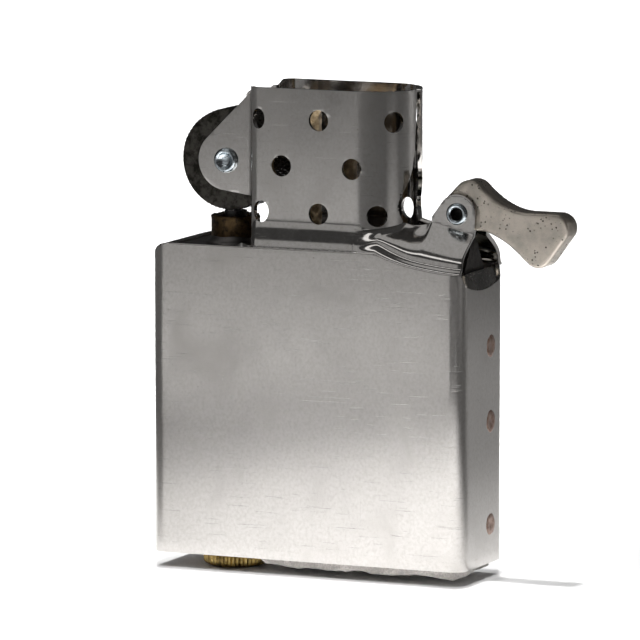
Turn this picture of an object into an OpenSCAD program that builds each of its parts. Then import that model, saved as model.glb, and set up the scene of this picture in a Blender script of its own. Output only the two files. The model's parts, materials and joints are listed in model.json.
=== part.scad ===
// Inside unit of a petrol pocket lighter: a folded steel tank with a pierced wind screen,
// a flint wheel over a spring-fed flint, a wick in fibre packing and a sprung lid cam.
// Millimetres. Origin at the centre of the tank's bottom rim, +Z up, +X towards the lid cam,
// -Y towards the front.

/* [Tank] */
// Length of the tank, along X
tank_l = 36; // [35.6:0.1:36.4]
// Thickness of the tank, front to back
tank_d = 11.5; // [11.3:0.1:11.8]
// Height of the tank's shoulder above its bottom rim
tank_h = 33.2; // [32.8:0.1:33.6]
// Thickness of the folded sheet
sheet = 0.45; // [0.4:0.01:0.5]
// Radius of the tank's upright corners
corner_r = 1.6; // [1.3:0.1:1.8]
// Radius of the rolled top edge at the wheel end
roll_r = 2; // [1.6:0.1:2.4]

/* [Wind screen] */
// Height of the screen's rim above the tank's bottom rim
screen_top = 50.1; // [49.6:0.1:50.6]
// Half the depth of the screen, front to back
screen_y = 5.1; // [5:0.05:5.2]
// Centre of the screen's round end, along X
screen_end_x = 5.44; // [5.2:0.02:5.6]
// Diameter of the vent holes
vent_d = 2.4; // [2:0.1:2.6]
// Heights of the three rows of vent holes
vent_rows = [46.85, 41.9, 37];

/* [Flint wheel] */
// Diameter of the wheel over its teeth
wheel_d = 10.88; // [10.6:0.02:10.94]
// Width of the wheel
wheel_w = 5.4; // [5.2:0.05:5.45]
// Wheel axle, along X
wheel_x = -10.2; // [-10.3:0.05:-10.1]
// Wheel axle, height
wheel_z = 42; // [41.95:0.05:42.2]
// Number of teeth drawn round the wheel
teeth = 60; // [40:2:72]

/* [Lid cam] */
// Cam pivot, along X
cam_x = 15.7; // [15.5:0.05:15.9]
// Cam pivot, height
cam_z = 37.36; // [37.3:0.02:37.5]
// Thickness of the cam
cam_t = 2.8; // [2.4:0.1:2.8]
// Radius of the round ends of the two cam ears
ear_r = 2.07; // [2:0.01:2.2]

/* [Flint and spring] */
// Flint tube's axis, along X
tube_x = -10.6; // [-10.7:0.05:-10.5]
// Diameter of the flint
flint_d = 2.4; // [2.2:0.1:2.5]
// Diameter of the knurled screw head
screw_head_d = 7; // [6.6:0.1:7.2]
// Turns of the flint spring
spring_turns = 15; // [10:1:17]

/* [Wick and felt] */
// Wick's axis in the screen, along X
wick_x = -2.2; // [-2.5:0.1:-2]
// Diameter of the wick
wick_d = 3; // [2.6:0.1:3.1]
// Depth of the felt below the tank's rim
felt_drop = 0.8; // [0.6:0.05:0.9]

/* [Hidden] */

$fn = 64;
eps = 0.01;
long = 100;
steel = [0.68, 0.66, 0.64];
dark_steel = [0.36, 0.34, 0.33];
zinc = [0.72, 0.76, 0.8];
brass = [0.62, 0.49, 0.25];
fibre = [0.93, 0.92, 0.88];

// Tank and shoulder
half_l = tank_l / 2;
half_d = tank_d / 2;
plate_top = tank_h - 0.35;
plate_bottom = plate_top - sheet;
end_wall_top = 29.9;
lip_top = 31.3;
lip_half_w = 4.1;

// Wind screen: the front wall turns inwards to the wheel ears through a double bend
bend_r = 1.2;
hollow_r = 0.6;
bend_x = -5.73;
bend_y = screen_y - bend_r;
screen_left = bend_x - bend_r;
wheel_ear_y = bend_y - hollow_r;
wheel_ear_r = 3.2;
ear_slope = 45;
ear_foot_tilt = 8;
step_h = 1.5;

// Seam at the round end: half widths of the slot at the given heights, then an arch at its foot
seam_half = 0.42;
seam_z = [50.2, 43.9, 40.5];
seam_w = [seam_half, 0.8, 1.8];
arch_r = 3;
arch_z = 38.6;

// Wing: a sheet that leaves the shoulder, rolls over and climbs to the cam ears
wing_n = 18;
wing_m = 12;
wing_split = 0.42;
wing_phi = 55;
wing_dip = 2.2;
wing_dip_len = 5;
wing_right = half_l - 0.25;
seam_gap = 0.02;
cam_ear_y = 1.9;
cam_gap_y = cam_ear_y - sheet;
crease_left = [12.6, 36.45];
crease_right = [wing_right, 35.15];

// Flint tube and what runs in it
tube_r = 2.3;
collar_r = 2.6;
tube_bottom = 0.5;
tube_top = 35.85;
thread_r = 1.95;
thread_clear = 0.05;
thread_depth = 7;
bore_r = 1.45;
flint_top = wheel_z - wheel_d / 2 - 0.2;
flint_len = 5;
tip_len = 3;
spring_wire = 0.4;
spring_r = 1.1;
seat_h = 1.2;
seat_z = 7.3;
head_top = -0.2;
head_h = 1.6;

// Cam spring
leaf_x = half_l - sheet - 0.02;
leaf_t = 0.4;
leaf_w = 6;
leaf_split = 24.6;
leaf_top = 34.7;
leaf_joggle = 0.65;
leaf_tip_y = 1.2;
weld_rows = [23.1, 15.1, 4.1];
weld_y = 1.95;

// Felt
felt_split = -6.4;
felt_top = 2.2;
felt_y = half_d - sheet - 0.35;
felt_right = half_l - sheet - 0.6;

// Points on an arc about [x, y] from angle a to angle b
function arc(x, y, r, a, b, n = 12) =
    [for (i = [0:n]) let (t = a + (b - a) * i / n) [x + r * cos(t), y + r * sin(t)]];

// Value that runs smoothly from 0 to 1
function ease(t) = (1 - cos(180 * t)) / 2;

// Quadratic curve through a and c, drawn towards b
function bend(a, b, c, t) = (1 - t) * (1 - t) * a + 2 * t * (1 - t) * b + t * t * c;

// Triangles of a closed skin over a block of rings, each ring a closed loop of k points
function skin(rings, k) = concat(
    [for (i = [0:rings - 2]) for (j = [0:k - 1])
        [i * k + j, i * k + (j + 1) % k, (i + 1) * k + (j + 1) % k]],
    [for (i = [0:rings - 2]) for (j = [0:k - 1])
        [i * k + j, (i + 1) * k + (j + 1) % k, (i + 1) * k + j]],
    [for (j = [1:k - 2]) [0, j + 1, j]],
    [for (j = [1:k - 2]) [(rings - 1) * k, (rings - 1) * k + j, (rings - 1) * k + j + 1]]);

// Round tube of radius r swept along points p, with frame directions from the X-Z plane
module sweep(p, r, k) {
    n = len(p);
    function ahead(i) = let (d = p[min(i + 1, n - 1)] - p[max(i - 1, 0)]) d / norm(d);
    function side(i) = let (d = cross([0, 1, 0], ahead(i))) d / norm(d);
    points = [for (i = [0:n - 1]) for (j = [0:k - 1])
        p[i] + r * (cos(360 * j / k) * side(i) + sin(360 * j / k) * cross(ahead(i), side(i)))];
    polyhedron(points, skin(n, k));
}

// Copy to the back of the lighter as well
module front_and_back() {
    children();
    mirror([0, 1, 0]) children();
}

// Flat outline in X-Z given thickness along Y, from y0 to y1
module along_y(y0, y1) {
    translate([0, y1, 0]) rotate([90, 0, 0]) linear_extrude(y1 - y0) children();
}

// Rounded rectangle made of true arcs
module rounded_box_outline(l, d, r) {
    square([l - 2 * r, d], center = true);
    square([l, d - 2 * r], center = true);
    for (x = [-1, 1]) for (y = [-1, 1])
        translate([x * (l / 2 - r), y * (d / 2 - r)]) circle(r);
}

// Height of the shoulder line over x: level, then falling towards the cam end
function shoulder_z(x) = x < 8 ? tank_h : tank_h - wing_dip * (1 - exp((8 - x) / wing_dip_len));

// Side view of the tank, rolled at the wheel end, shrunk by g on its outside
function tank_side(g) = concat(
    [[half_l + 1, -1], [half_l + 1, shoulder_z(half_l) - g]],
    [for (i = [10:-1:1]) let (x = 8 + i) [x, shoulder_z(x) - g]],
    [[8, tank_h - g]],
    arc(-half_l + roll_r, tank_h - roll_r, roll_r - g, 90, 180),
    [[-half_l + g, -1]]);

// Main tank: four walls, open at the bottom, rolled over at the top of the wheel end
module tank_shell() {
    color(steel) difference() {
        intersection() {
            linear_extrude(tank_h) rounded_box_outline(tank_l, tank_d, corner_r);
            along_y(-tank_d, tank_d) polygon(tank_side(0));
        }
        intersection() {
            translate([0, 0, -1]) linear_extrude(long)
                rounded_box_outline(tank_l - 2 * sheet, tank_d - 2 * sheet, corner_r - sheet);
            union() {
                along_y(-tank_d, tank_d) polygon(tank_side(sheet));
                translate([-half_l + roll_r, -half_d, tank_h - 1]) cube([tank_l, tank_d, 3]);
            }
        }
        translate([half_l - corner_r, -lip_half_w, end_wall_top]) cube([5, 2 * lip_half_w, 10]);
        translate([half_l - 5, 0, end_wall_top + 5.2]) rotate([0, 90, 0]) cylinder(h = 10, r = 5.7);
    }
}

// Strip of the end wall that leans inwards behind the cam spring's mouth
module end_lip() {
    lean = 0.3;
    color(steel) along_y(-lip_half_w + 0.05, lip_half_w - 0.05) polygon([
        [half_l - lean - sheet, end_wall_top + 0.02], [half_l - lean, end_wall_top + 0.02],
        [half_l - lean - 0.25, lip_top], [half_l - lean - 0.25 - sheet, lip_top]]);
}

// Closing plate under the wind screen, with the tube hole, the wick hole and the spring's mouth
module shoulder_plate() {
    left = -half_l + roll_r + 0.02;
    right = half_l - sheet - 0.9;
    mouth_w = leaf_w + 0.8;
    plate_y = half_d - sheet - 0.02;
    color(dark_steel) difference() {
        translate([left, -plate_y, plate_bottom]) cube([right - left, 2 * plate_y, sheet]);
        translate([tube_x, 0, plate_bottom - 1]) cylinder(h = 3, r = tube_r);
        translate([wick_x, 0, plate_bottom - 1]) cylinder(h = 3, d = wick_d + 0.5);
        translate([cam_x - 2.4, -mouth_w / 2, plate_bottom - 1]) cube([10, mouth_w, 3]);
        along_y(-tank_d, tank_d) polygon([[8, tank_h + 1], [8, tank_h],
            for (i = [1:10]) [8 + i, shoulder_z(8 + i) - 0.1], [19, tank_h + 1]]);
    }
}

// Drops of solder left on the shoulder beside the tube
module shoulder_solder() {
    color(zinc) for (p = [[-7.6, 0.5], [-6.6, 0.38], [-8.5, 0.3]])
        translate([p[0], -half_d + sheet + p[1] + 0.05, plate_top + 0.01]) difference() {
            sphere(p[1]);
            translate([-1, -1, -2]) cube(2);
        }
}

// Outside of the screen seen from above, shrunk by g
module screen_outline(g) {
    y = screen_y - g;
    translate([bend_x, -y]) square([screen_end_x - bend_x, 2 * y]);
    translate([screen_end_x, 0]) circle(y);
    translate([screen_left + g, -bend_y]) square([5, 2 * bend_y]);
    for (s = [-1, 1]) translate([bend_x, s * bend_y]) circle(bend_r - g);
}

// Side view of a wheel ear: round about the axle, sloping up to the screen
module wheel_ear_outline() {
    reach = 6.5;
    top = [wheel_x + wheel_ear_r * cos(90 + ear_slope), wheel_z + wheel_ear_r * sin(90 + ear_slope)];
    foot = [wheel_x - wheel_ear_r * sin(ear_foot_tilt), wheel_z - wheel_ear_r * cos(ear_foot_tilt)];
    rise = -reach - top[0];
    run = -reach - foot[0];
    translate([wheel_x, wheel_z]) circle(wheel_ear_r);
    polygon([top, [-reach, min(top[1] + rise, screen_top - 0.3)],
             [-reach, foot[1] - run * tan(ear_foot_tilt)], foot, [wheel_x, wheel_z]]);
}

// One wheel ear with the hollow bend that joins it to the screen
module wheel_ear() {
    hollow_x = bend_x - bend_r - hollow_r;
    intersection() {
        union() {
            translate([hollow_x, -bend_y, 30]) difference() {
                linear_extrude(25) circle(hollow_r + sheet);
                translate([0, 0, -1]) linear_extrude(30) circle(hollow_r);
                translate([-5, -5, -1]) cube([5, 10, 30]);
                translate([-5, -10, -1]) cube([10, 10, 30]);
            }
            translate([hollow_x - 8, -wheel_ear_y, 30]) cube([8, sheet, 25]);
        }
        along_y(-tank_d, tank_d) wheel_ear_outline();
    }
}

// Sheet step from the tank's front wall back to the screen's front wall
module shoulder_step() {
    n = 10;
    outer = [for (i = [0:n]) [-half_d + (half_d - screen_y) * ease(i / n), tank_h + step_h * i / n]];
    inner = [for (i = [n:-1:0]) outer[i] + [sheet, 0]];
    left = screen_left + 0.35;
    translate([left, 0, 0]) rotate([90, 0, 90]) linear_extrude(screen_end_x - left)
        polygon(concat(outer, inner));
}

// Vent hole at angle a about a centre, drilled square to the sheet
module vent(x, y, a, z) {
    translate([x, y, z]) rotate([90, 0, a]) cylinder(h = 3, d = vent_d, center = true);
}

// Eight vent holes of the front wall: three, two and three
module vents() {
    end_angle = 47.8;
    foot_angle = 27;
    fold_angle = -14;
    top = vent_rows[0];
    low = vent_rows[2];
    vent(1.27, -screen_y, 0, top);
    vent(screen_end_x + screen_y * sin(end_angle), -screen_y * cos(end_angle), end_angle, top);
    vent(-3, -screen_y, 0, vent_rows[1]);
    vent(5.06, -screen_y, 0, vent_rows[1]);
    vent(1.27, -screen_y, 0, low);
    vent(screen_end_x + screen_y * sin(foot_angle), -screen_y * cos(foot_angle), foot_angle, low);
    for (z = [top, low]) translate([bend_x - 0.15, -screen_y, z]) rotate([90, 0, fold_angle])
        cylinder(h = 2, r = 1, center = true);
}

// Seam at the round end: a slot that widens downwards into an arch
module seam() {
    right = [for (i = [0:2]) [seam_w[i], seam_z[i]]];
    left = [for (i = [2:-1:0]) [-seam_w[i], seam_z[i]]];
    translate([screen_end_x, 0, 0]) rotate([90, 0, 90]) linear_extrude(10) union() {
        polygon(concat(right, [[arch_r, arch_z]], [[-arch_r, arch_z]], left));
        translate([0, arch_z]) circle(arch_r);
        translate([-arch_r, tank_h - 1]) square([2 * arch_r, arch_z - tank_h + 1]);
    }
}

// Pierced wind screen with its two wheel ears
module wind_screen() {
    color(steel) difference() {
        union() {
            translate([0, 0, tank_h + eps]) linear_extrude(screen_top - tank_h - eps)
                difference() {
                    screen_outline(0);
                    screen_outline(sheet);
                    translate([-20, -bend_y]) square([20 + bend_x, 2 * bend_y]);
                }
            front_and_back() shoulder_step();
            front_and_back() wheel_ear();
            front_and_back() translate([screen_left, -bend_y, tank_h + eps])
                cube([sheet, eps, screen_top - tank_h - eps]);
        }
        front_and_back() vents();
        seam();
        translate([wheel_x, 0, wheel_z]) rotate([90, 0, 0])
            cylinder(h = tank_d, r = 1, center = true);
    }
}

// Foot of the wing, on the shoulder line: u runs from the screen to the cam end
function wing_foot(u) =
    let (x = screen_end_x + 0.05 + (wing_right - screen_end_x - 0.05) * u,
         c = max(0, x - (half_l - corner_r)))
    [x, -half_d + corner_r - sqrt(corner_r * corner_r - c * c), shoulder_z(x) + seam_gap];

// Head of the wing: round the screen's end first, then along the crease under the cam ear
function wing_head(u) =
    u < wing_split
    ? let (t = u / wing_split, a = wing_phi * t)
      [screen_end_x + (screen_y - 0.05) * sin(a), -(screen_y - 0.05) * cos(a),
       tank_h + step_h + 1.7 * t * t]
    : let (t = (u - wing_split) / (1 - wing_split), k = ease(min(1, 1.6 * t)))
      [screen_end_x + screen_y * sin(wing_phi)
           + (wing_right - screen_end_x - screen_y * sin(wing_phi)) * t,
       -screen_y * cos(wing_phi) + (screen_y * cos(wing_phi) - cam_ear_y) * k,
       tank_h + step_h + 1.7 + (crease_right[1] - tank_h - step_h - 1.7) * t];

// A point of the wing: a small step off the tank wall, then a roll up to the crease
function wing(u, v) =
    let (a = wing_foot(u), b = wing_head(u), s = 0.22,
         ledge = [a[0], a[1] + 0.45, a[2] + 0.75])
    v < s
    ? let (t = v / s) [a[0], a[1] + 0.45 * ease(t), a[2] + 0.75 * t]
    : bend(ledge, [(ledge[0] + b[0]) / 2, ledge[1] + 0.15, ledge[2] + 0.45 * (b[2] - ledge[2])],
           b, (v - s) / (1 - s));

// One wing as a closed sheet
module wing_sheet() {
    function back(v) = [0, 0.32, -0.3 * ease(min(1, 2.5 * v))];
    k = 2 * (wing_m + 1);
    points = [for (i = [0:wing_n]) each concat(
        [for (j = [0:wing_m]) wing(i / wing_n, j / wing_m)],
        [for (j = [wing_m:-1:0]) wing(i / wing_n, j / wing_m) + back(j / wing_m)])];
    polyhedron(points, skin(wing_n + 1, k));
}

// Side view of a cam ear above its crease
module cam_ear_outline() {
    translate([cam_x, cam_z]) circle(ear_r);
    polygon([crease_left, crease_right, [cam_x + ear_r, crease_right[1] + 0.2],
             [cam_x + ear_r, cam_z],
             each arc(cam_x, cam_z, ear_r, 90, 150, 8), [crease_left[0] + 0.25, 37.05]]);
}

// Wings and the two ears that hold the cam between them
module cam_ears() {
    color(steel) difference() {
        front_and_back() {
            wing_sheet();
            along_y(-cam_ear_y, -cam_gap_y) cam_ear_outline();
        }
        translate([cam_x, 0, cam_z]) rotate([90, 0, 0])
            cylinder(h = tank_d, r = 0.9, center = true);
        translate([screen_end_x, 0, 0]) cylinder(h = long, r = screen_y + eps);
        seam();
    }
}

// Toothed wheel that strikes the flint
module flint_wheel() {
    r = wheel_d / 2;
    root = r - 0.16;
    color(dark_steel) translate([wheel_x, 0, wheel_z]) rotate([90, 0, 0]) difference() {
        union() {
            linear_extrude(wheel_w - 0.8, center = true) polygon([
                for (i = [0:2 * teeth - 1]) let (q = i % 2 == 0 ? r : root, a = 180 * i / teeth)
                    [q * cos(a), q * sin(a)]]);
            cylinder(h = wheel_w, r = root - 0.25, center = true);
        }
        cylinder(h = wheel_w + 2, r = 1.05, center = true);
        for (s = [-1, 1]) translate([0, 0, s * wheel_w / 2]) difference() {
            cylinder(h = 0.8, r = r - 1, center = true);
            cylinder(h = 2, r = 1.9, center = true);
        }
    }
}

// Rivet that carries the wheel, with a dimpled head at each side
module wheel_rivet() {
    head_y = wheel_ear_y + 0.5;
    color(zinc) translate([wheel_x, 0, wheel_z]) rotate([90, 0, 0]) difference() {
        union() {
            cylinder(h = 2 * head_y, r = 1, center = true);
            for (s = [-1, 1]) translate([0, 0, s * (wheel_ear_y + 0.26)])
                cylinder(h = 0.5, r = 1.35, center = true);
        }
        for (s = [-1, 1]) translate([0, 0, s * (head_y + 0.5)]) sphere(0.95);
    }
}

// Tube that holds the flint and its spring; wide collar above the shoulder plate
module flint_tube() {
    color(brass) translate([tube_x, 0, 0]) difference() {
        union() {
            translate([0, 0, tube_bottom]) cylinder(h = plate_top - tube_bottom, r = tube_r);
            translate([0, 0, plate_top + 0.01]) cylinder(h = tube_top - plate_top - 0.01, r = collar_r);
        }
        translate([0, 0, -1]) cylinder(h = long, r = bore_r);
        cylinder(h = thread_depth + tube_bottom, r = thread_r + thread_clear);
    }
}

// Ring of solder round the foot of the collar
module tube_solder() {
    color(dark_steel) translate([tube_x, 0, plate_top + 0.02]) rotate_extrude() polygon([
        [collar_r + 0.01, 0], [collar_r + 0.75, 0], [collar_r + 0.3, 0.35], [collar_r + 0.01, 0.75]]);
}

// Flint, its top worn hollow by the wheel
module flint() {
    color(dark_steel) difference() {
        translate([tube_x, 0, flint_top - flint_len]) cylinder(h = flint_len, d = flint_d);
        translate([wheel_x, 0, wheel_z]) rotate([90, 0, 0])
            cylinder(h = 5, r = wheel_d / 2 + 0.12, center = true);
    }
}

// Plug on the spring's upper end that pushes the flint
module spring_tip() {
    top = flint_top - flint_len - 0.02;
    color(brass) translate([tube_x, 0, top - tip_len]) {
        cylinder(h = tip_len - 1, r = 0.75);
        translate([0, 0, tip_len - 1]) cylinder(h = 1, r = 1.2);
    }
}

// Coil spring that feeds the flint
module flint_spring() {
    low = seat_z + seat_h + spring_wire / 2 + 0.02;
    high = flint_top - flint_len - 0.02 - 1 - spring_wire / 2 - 0.02;
    steps = 10 * spring_turns;
    color(zinc) sweep([for (i = [0:steps]) [tube_x + spring_r * cos(36 * i), spring_r * sin(36 * i),
        low + (high - low) * i / steps]], spring_wire / 2, 5);
}

// Cup on the screw's end that carries the spring
module spring_seat() {
    color(brass) translate([tube_x, 0, seat_z]) cylinder(h = seat_h, r = 1.3);
}

// Knurled and slotted screw that closes the tube
module spring_screw() {
    r = screw_head_d / 2;
    ribs = 36;
    color(brass) translate([tube_x, 0, 0]) difference() {
        union() {
            translate([0, 0, head_top - head_h]) linear_extrude(head_h) polygon([
                for (i = [0:2 * ribs - 1]) let (q = i % 2 == 0 ? r : r - 0.15, a = 180 * i / ribs)
                    [q * cos(a), q * sin(a)]]);
            translate([0, 0, head_top - eps]) cylinder(h = seat_z - head_top - 0.02, r = thread_r);
        }
        translate([-5, -0.45, head_top - head_h - 1]) cube([10, 0.9, 1.6]);
    }
}

// Side view of the cam in its own frame, pivot at the origin, tail towards +X
function cam_side() = concat(
    arc(0, 0, 2.25, 230, 150),
    arc(1.15, 1.7, 1.85, 130, 55, 10),
    [for (i = [1:9]) bend([2.3, 3.15], [5.2, 0.15], [8.4, 0.42], i / 10)],
    arc(10.75, -1.2, 1.6, 90, -25, 12),
    arc(8.85, -3.75, 1.6, -35, -125, 10),
    [for (i = [1:7]) bend([7.5, -4.75], [5.5, -2.55], [2.6, -1.65], i / 8)]);

// Lever that snaps the lid open and shut
module cam() {
    color([0.6, 0.56, 0.5]) translate([cam_x, cam_t / 2, cam_z]) rotate([90, 0, 0]) difference() {
        linear_extrude(cam_t) polygon(cam_side());
        translate([0, 0, -1]) cylinder(h = cam_t + 2, r = 0.95);
    }
}

// Hollow rivet through both ears and the cam
module cam_rivet() {
    color(zinc) translate([cam_x, 0, cam_z]) rotate([90, 0, 0]) difference() {
        union() {
            cylinder(h = 2 * cam_ear_y + 0.6, r = 0.9, center = true);
            for (s = [-1, 1]) translate([0, 0, s * (cam_ear_y + 0.16)])
                cylinder(h = 0.3, r = 1.15, center = true);
        }
        cylinder(h = 10, r = 0.62, center = true);
    }
}

// Lower part of the cam spring, welded inside the end wall
module cam_spring_base() {
    foot = 2.6;
    color(dark_steel) translate([leaf_x - leaf_t, -leaf_w / 2, foot])
        cube([leaf_t, leaf_w, leaf_split - foot]);
}

// Free part of the cam spring: up through the mouth and over under the cam's heel
module cam_spring_tongue() {
    x = leaf_x - leaf_t;
    r = 1.1;
    x_top = x - leaf_joggle;
    wide = leaf_w / 2 - 0.1;
    intersection() {
        color(dark_steel) along_y(-wide, wide) polygon(concat(
            [[x, leaf_split + 0.03], [leaf_x - 0.02, leaf_split + 0.03], [leaf_x - 0.02, leaf_split + 2],
             [x_top + leaf_t, end_wall_top - 0.6]],
            arc(x_top - r + leaf_t, leaf_top - r, r, 0, 90, 8),
            [[x_top - 2.8, leaf_top - 0.25], [x_top - 2.8, leaf_top - 0.25 - leaf_t]],
            arc(x_top - r + leaf_t, leaf_top - r, r - leaf_t, 90, 0, 8),
            [[x_top, end_wall_top - 0.7], [x, leaf_split + 1.9]]));
        rotate([90, 0, 90]) linear_extrude(tank_l) polygon([
            [-wide, 0], [wide, 0], [wide, end_wall_top + 1], [leaf_tip_y, leaf_top - 1.2],
            [leaf_tip_y, leaf_top + 1], [-leaf_tip_y, leaf_top + 1],
            [-leaf_tip_y, leaf_top - 1.2], [-wide, end_wall_top + 1]]);
    }
}

// Spot welds showing on the end wall
module spring_welds() {
    color([0.5, 0.4, 0.34]) for (z = weld_rows) translate([half_l + 0.01, weld_y, z])
        rotate([0, 90, 0]) cylinder(h = 0.05, r = 1.15);
}

// Way of the wick: straight down the screen, then one loop through the packing
function wick_way(s) = s < 18 ? [wick_x, 0, 48 - s]
    : let (z = 48 - s) [wick_x + 7.5 * ease(1 - abs(z - 16.5) / 13.5), 0, z];

// Wick from the screen down through the packing
module wick() {
    color([0.86, 0.78, 0.62]) sweep([for (i = [0:36]) wick_way(i * 1.2)], wick_d / 2, 10);
}

// Copper strand along the wick, showing at its top
module wick_wire() {
    color([0.72, 0.4, 0.22]) translate([wick_x + 0.5, 0, 30]) cylinder(h = 18.5, r = 0.14);
}

// Ball of packing fibre, squeezed front to back
module packing(x, z, r) {
    half = half_d - sheet - 0.4;
    color(fibre) translate([x, 0, z]) rotate([90, 0, 0]) rotate_extrude() polygon(concat(
        [[0, half]], [for (a = [80:-10:-80]) [(r - 1.6) + 1.6 * cos(a), half * sin(a)]], [[0, -half]]));
}

module packing_1() { packing(6.4, 27.3, 4.6); }
module packing_2() { packing(-4.6, 17.4, 3.4); }
module packing_3() { packing(13, 19.8, 4.1); }
module packing_4() { packing(12.4, 11, 4.4); }
module packing_5() { packing(5.9, 6.3, 3.2); }

// Felt under the packing at the wheel end, with a hole for the screw
module felt_pad() {
    color([0.62, 0.61, 0.6]) difference() {
        translate([-half_l + sheet + 0.6, -felt_y, 0.25])
            cube([felt_split - 0.15 + half_l - sheet - 0.6, 2 * felt_y, felt_top - 0.25]);
        translate([tube_x, 0, -1]) cylinder(h = 5, r = 3.75);
    }
}

// Felt that lifts for filling
module felt_flap() {
    color([0.62, 0.61, 0.6]) translate([felt_split + 0.15, -felt_y, -felt_drop])
        cube([felt_right - felt_split - 0.15, 2 * felt_y, felt_top + felt_drop]);
}

tank_shell();
shoulder_plate();
wind_screen();
cam_ears();
end_lip();
shoulder_solder();
flint_wheel();
wheel_rivet();
flint_tube();
tube_solder();
flint();
spring_tip();
flint_spring();
spring_seat();
spring_screw();
cam();
cam_rivet();
cam_spring_base();
cam_spring_tongue();
spring_welds();
wick();
wick_wire();
packing_1();
packing_2();
packing_3();
packing_4();
packing_5();
felt_pad();
felt_flap();
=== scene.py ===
"""Studio scene for the inside unit of a flip-lid petrol pocket lighter.

Shapes are worked out in millimetres in the CAD frame and stored in metres.
"""
import json
import math

import bmesh
import bpy
import numpy as np
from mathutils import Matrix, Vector, noise
from mathutils.geometry import delaunay_2d_cdt


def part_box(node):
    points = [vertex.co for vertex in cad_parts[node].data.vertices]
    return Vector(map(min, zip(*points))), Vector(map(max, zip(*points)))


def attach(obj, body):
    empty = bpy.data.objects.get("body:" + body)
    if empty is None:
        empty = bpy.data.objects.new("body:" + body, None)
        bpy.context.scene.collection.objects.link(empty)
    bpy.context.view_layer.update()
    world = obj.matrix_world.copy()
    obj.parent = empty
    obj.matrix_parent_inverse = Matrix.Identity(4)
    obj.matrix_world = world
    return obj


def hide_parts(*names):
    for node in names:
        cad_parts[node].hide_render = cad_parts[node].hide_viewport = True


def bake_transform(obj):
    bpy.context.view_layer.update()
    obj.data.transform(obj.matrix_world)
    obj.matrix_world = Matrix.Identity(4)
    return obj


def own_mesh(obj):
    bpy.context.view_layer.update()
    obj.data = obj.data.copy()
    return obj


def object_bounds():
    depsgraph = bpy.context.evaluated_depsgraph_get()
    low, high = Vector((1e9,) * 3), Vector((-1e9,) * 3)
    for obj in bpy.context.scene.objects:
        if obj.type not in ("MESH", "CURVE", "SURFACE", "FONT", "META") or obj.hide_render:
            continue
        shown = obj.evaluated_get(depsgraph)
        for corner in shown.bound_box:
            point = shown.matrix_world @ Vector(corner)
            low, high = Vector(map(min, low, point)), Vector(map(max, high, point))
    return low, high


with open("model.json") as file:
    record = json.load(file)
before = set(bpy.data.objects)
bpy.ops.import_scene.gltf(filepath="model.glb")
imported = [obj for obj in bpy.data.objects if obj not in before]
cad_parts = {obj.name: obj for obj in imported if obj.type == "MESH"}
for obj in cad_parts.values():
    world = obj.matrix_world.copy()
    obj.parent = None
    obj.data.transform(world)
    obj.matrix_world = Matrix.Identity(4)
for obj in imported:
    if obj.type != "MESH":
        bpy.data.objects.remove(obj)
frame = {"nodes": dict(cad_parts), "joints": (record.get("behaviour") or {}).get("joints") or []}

cad_bounds = [list(corner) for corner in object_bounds()]

MM = 0.001


# ---------------------------------------------------------------- sizes taken from the frame

def box_mm(node):
    """Lowest and highest corner of a CAD node at rest, in millimetres."""
    low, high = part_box(node)
    return Vector(low) / MM, Vector(high) / MM


def joint(name):
    """A joint's record."""
    return next(j for j in frame["joints"] if j["name"] == name)


def joint_mm(name):
    """A joint's place, in millimetres."""
    return Vector(joint(name)["pos_m"]) / MM


HALF_L, HALF_D, TANK_H = box_mm("tank_shell")[1]
SCREEN_TOP = box_mm("wind_screen")[1].z
PLATE_TOP = box_mm("shoulder_plate")[1].z
WHEEL_AT = joint_mm("wheel_spin")
CAM_AT = joint_mm("cam_flip")
SCREW_AT = joint_mm("screw_turn")
HINGE_AT = joint_mm("felt_lift")
WHEEL_LOW, WHEEL_HIGH = box_mm("flint_wheel")
WHEEL_R = (WHEEL_HIGH.z - WHEEL_LOW.z) / 2
WHEEL_HALF_W = WHEEL_HIGH.y
CAM_HALF_T = box_mm("cam")[1].y
TUBE_LOW, TUBE_HIGH = box_mm("flint_tube")
COLLAR_R = (TUBE_HIGH.x - TUBE_LOW.x) / 2
TUBE_TOP = TUBE_HIGH.z
HEAD_LOW, HEAD_HIGH = box_mm("spring_screw")
HEAD_R = (HEAD_HIGH.x - HEAD_LOW.x) / 2
HEAD_BOTTOM = HEAD_LOW.z
PAD_LOW = box_mm("felt_pad")[0]
FLAP_LOW, FLAP_HIGH = box_mm("felt_flap")
WICK_LOW, WICK_HIGH = box_mm("wick")
WIRE_LEFT = box_mm("wick_wire")[0].x

# Sheet and its bends: the tank's upright corners and rolled top, the screen's front wall, the
# middle of its round end, and the convex then hollow bend from which its wheel ears run on
SHEET = 0.45
CORNER_R = 1.6
ROLL_R = 2.0
SCREEN_Y = 5.1
END_X = 5.44
BEND_X = -5.73
BEND_R = 1.2
HOLLOW_R = 0.6
BEND_Y = SCREEN_Y - BEND_R
EAR_Y = BEND_Y - HOLLOW_R
STEP_D = HALF_D - SCREEN_Y
STEP_RISE = 3.0
STEP_H = 1.5
# Ears round the wheel's axle and the cam's pivot, the cam's bore and the vent holes
EAR_R = 3.2
CAM_EAR_Y = 1.9
CAM_EAR_R = 2.07
CAM_BORE_R = 0.95
VENT_R = 1.12


# ---------------------------------------------------------------- small helpers

def ease(t):
    """Smooth run from 0 to 1."""
    return (1 - math.cos(math.pi * min(1.0, max(0.0, t)))) / 2


def mix(a, b, t):
    return a + (b - a) * t


def arc(cx, cy, r, start, end, n):
    """Points on an arc, angles in degrees."""
    turns = [math.radians(start + (end - start) * i / n) for i in range(n + 1)]
    return [(cx + r * math.cos(t), cy + r * math.sin(t)) for t in turns]


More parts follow.
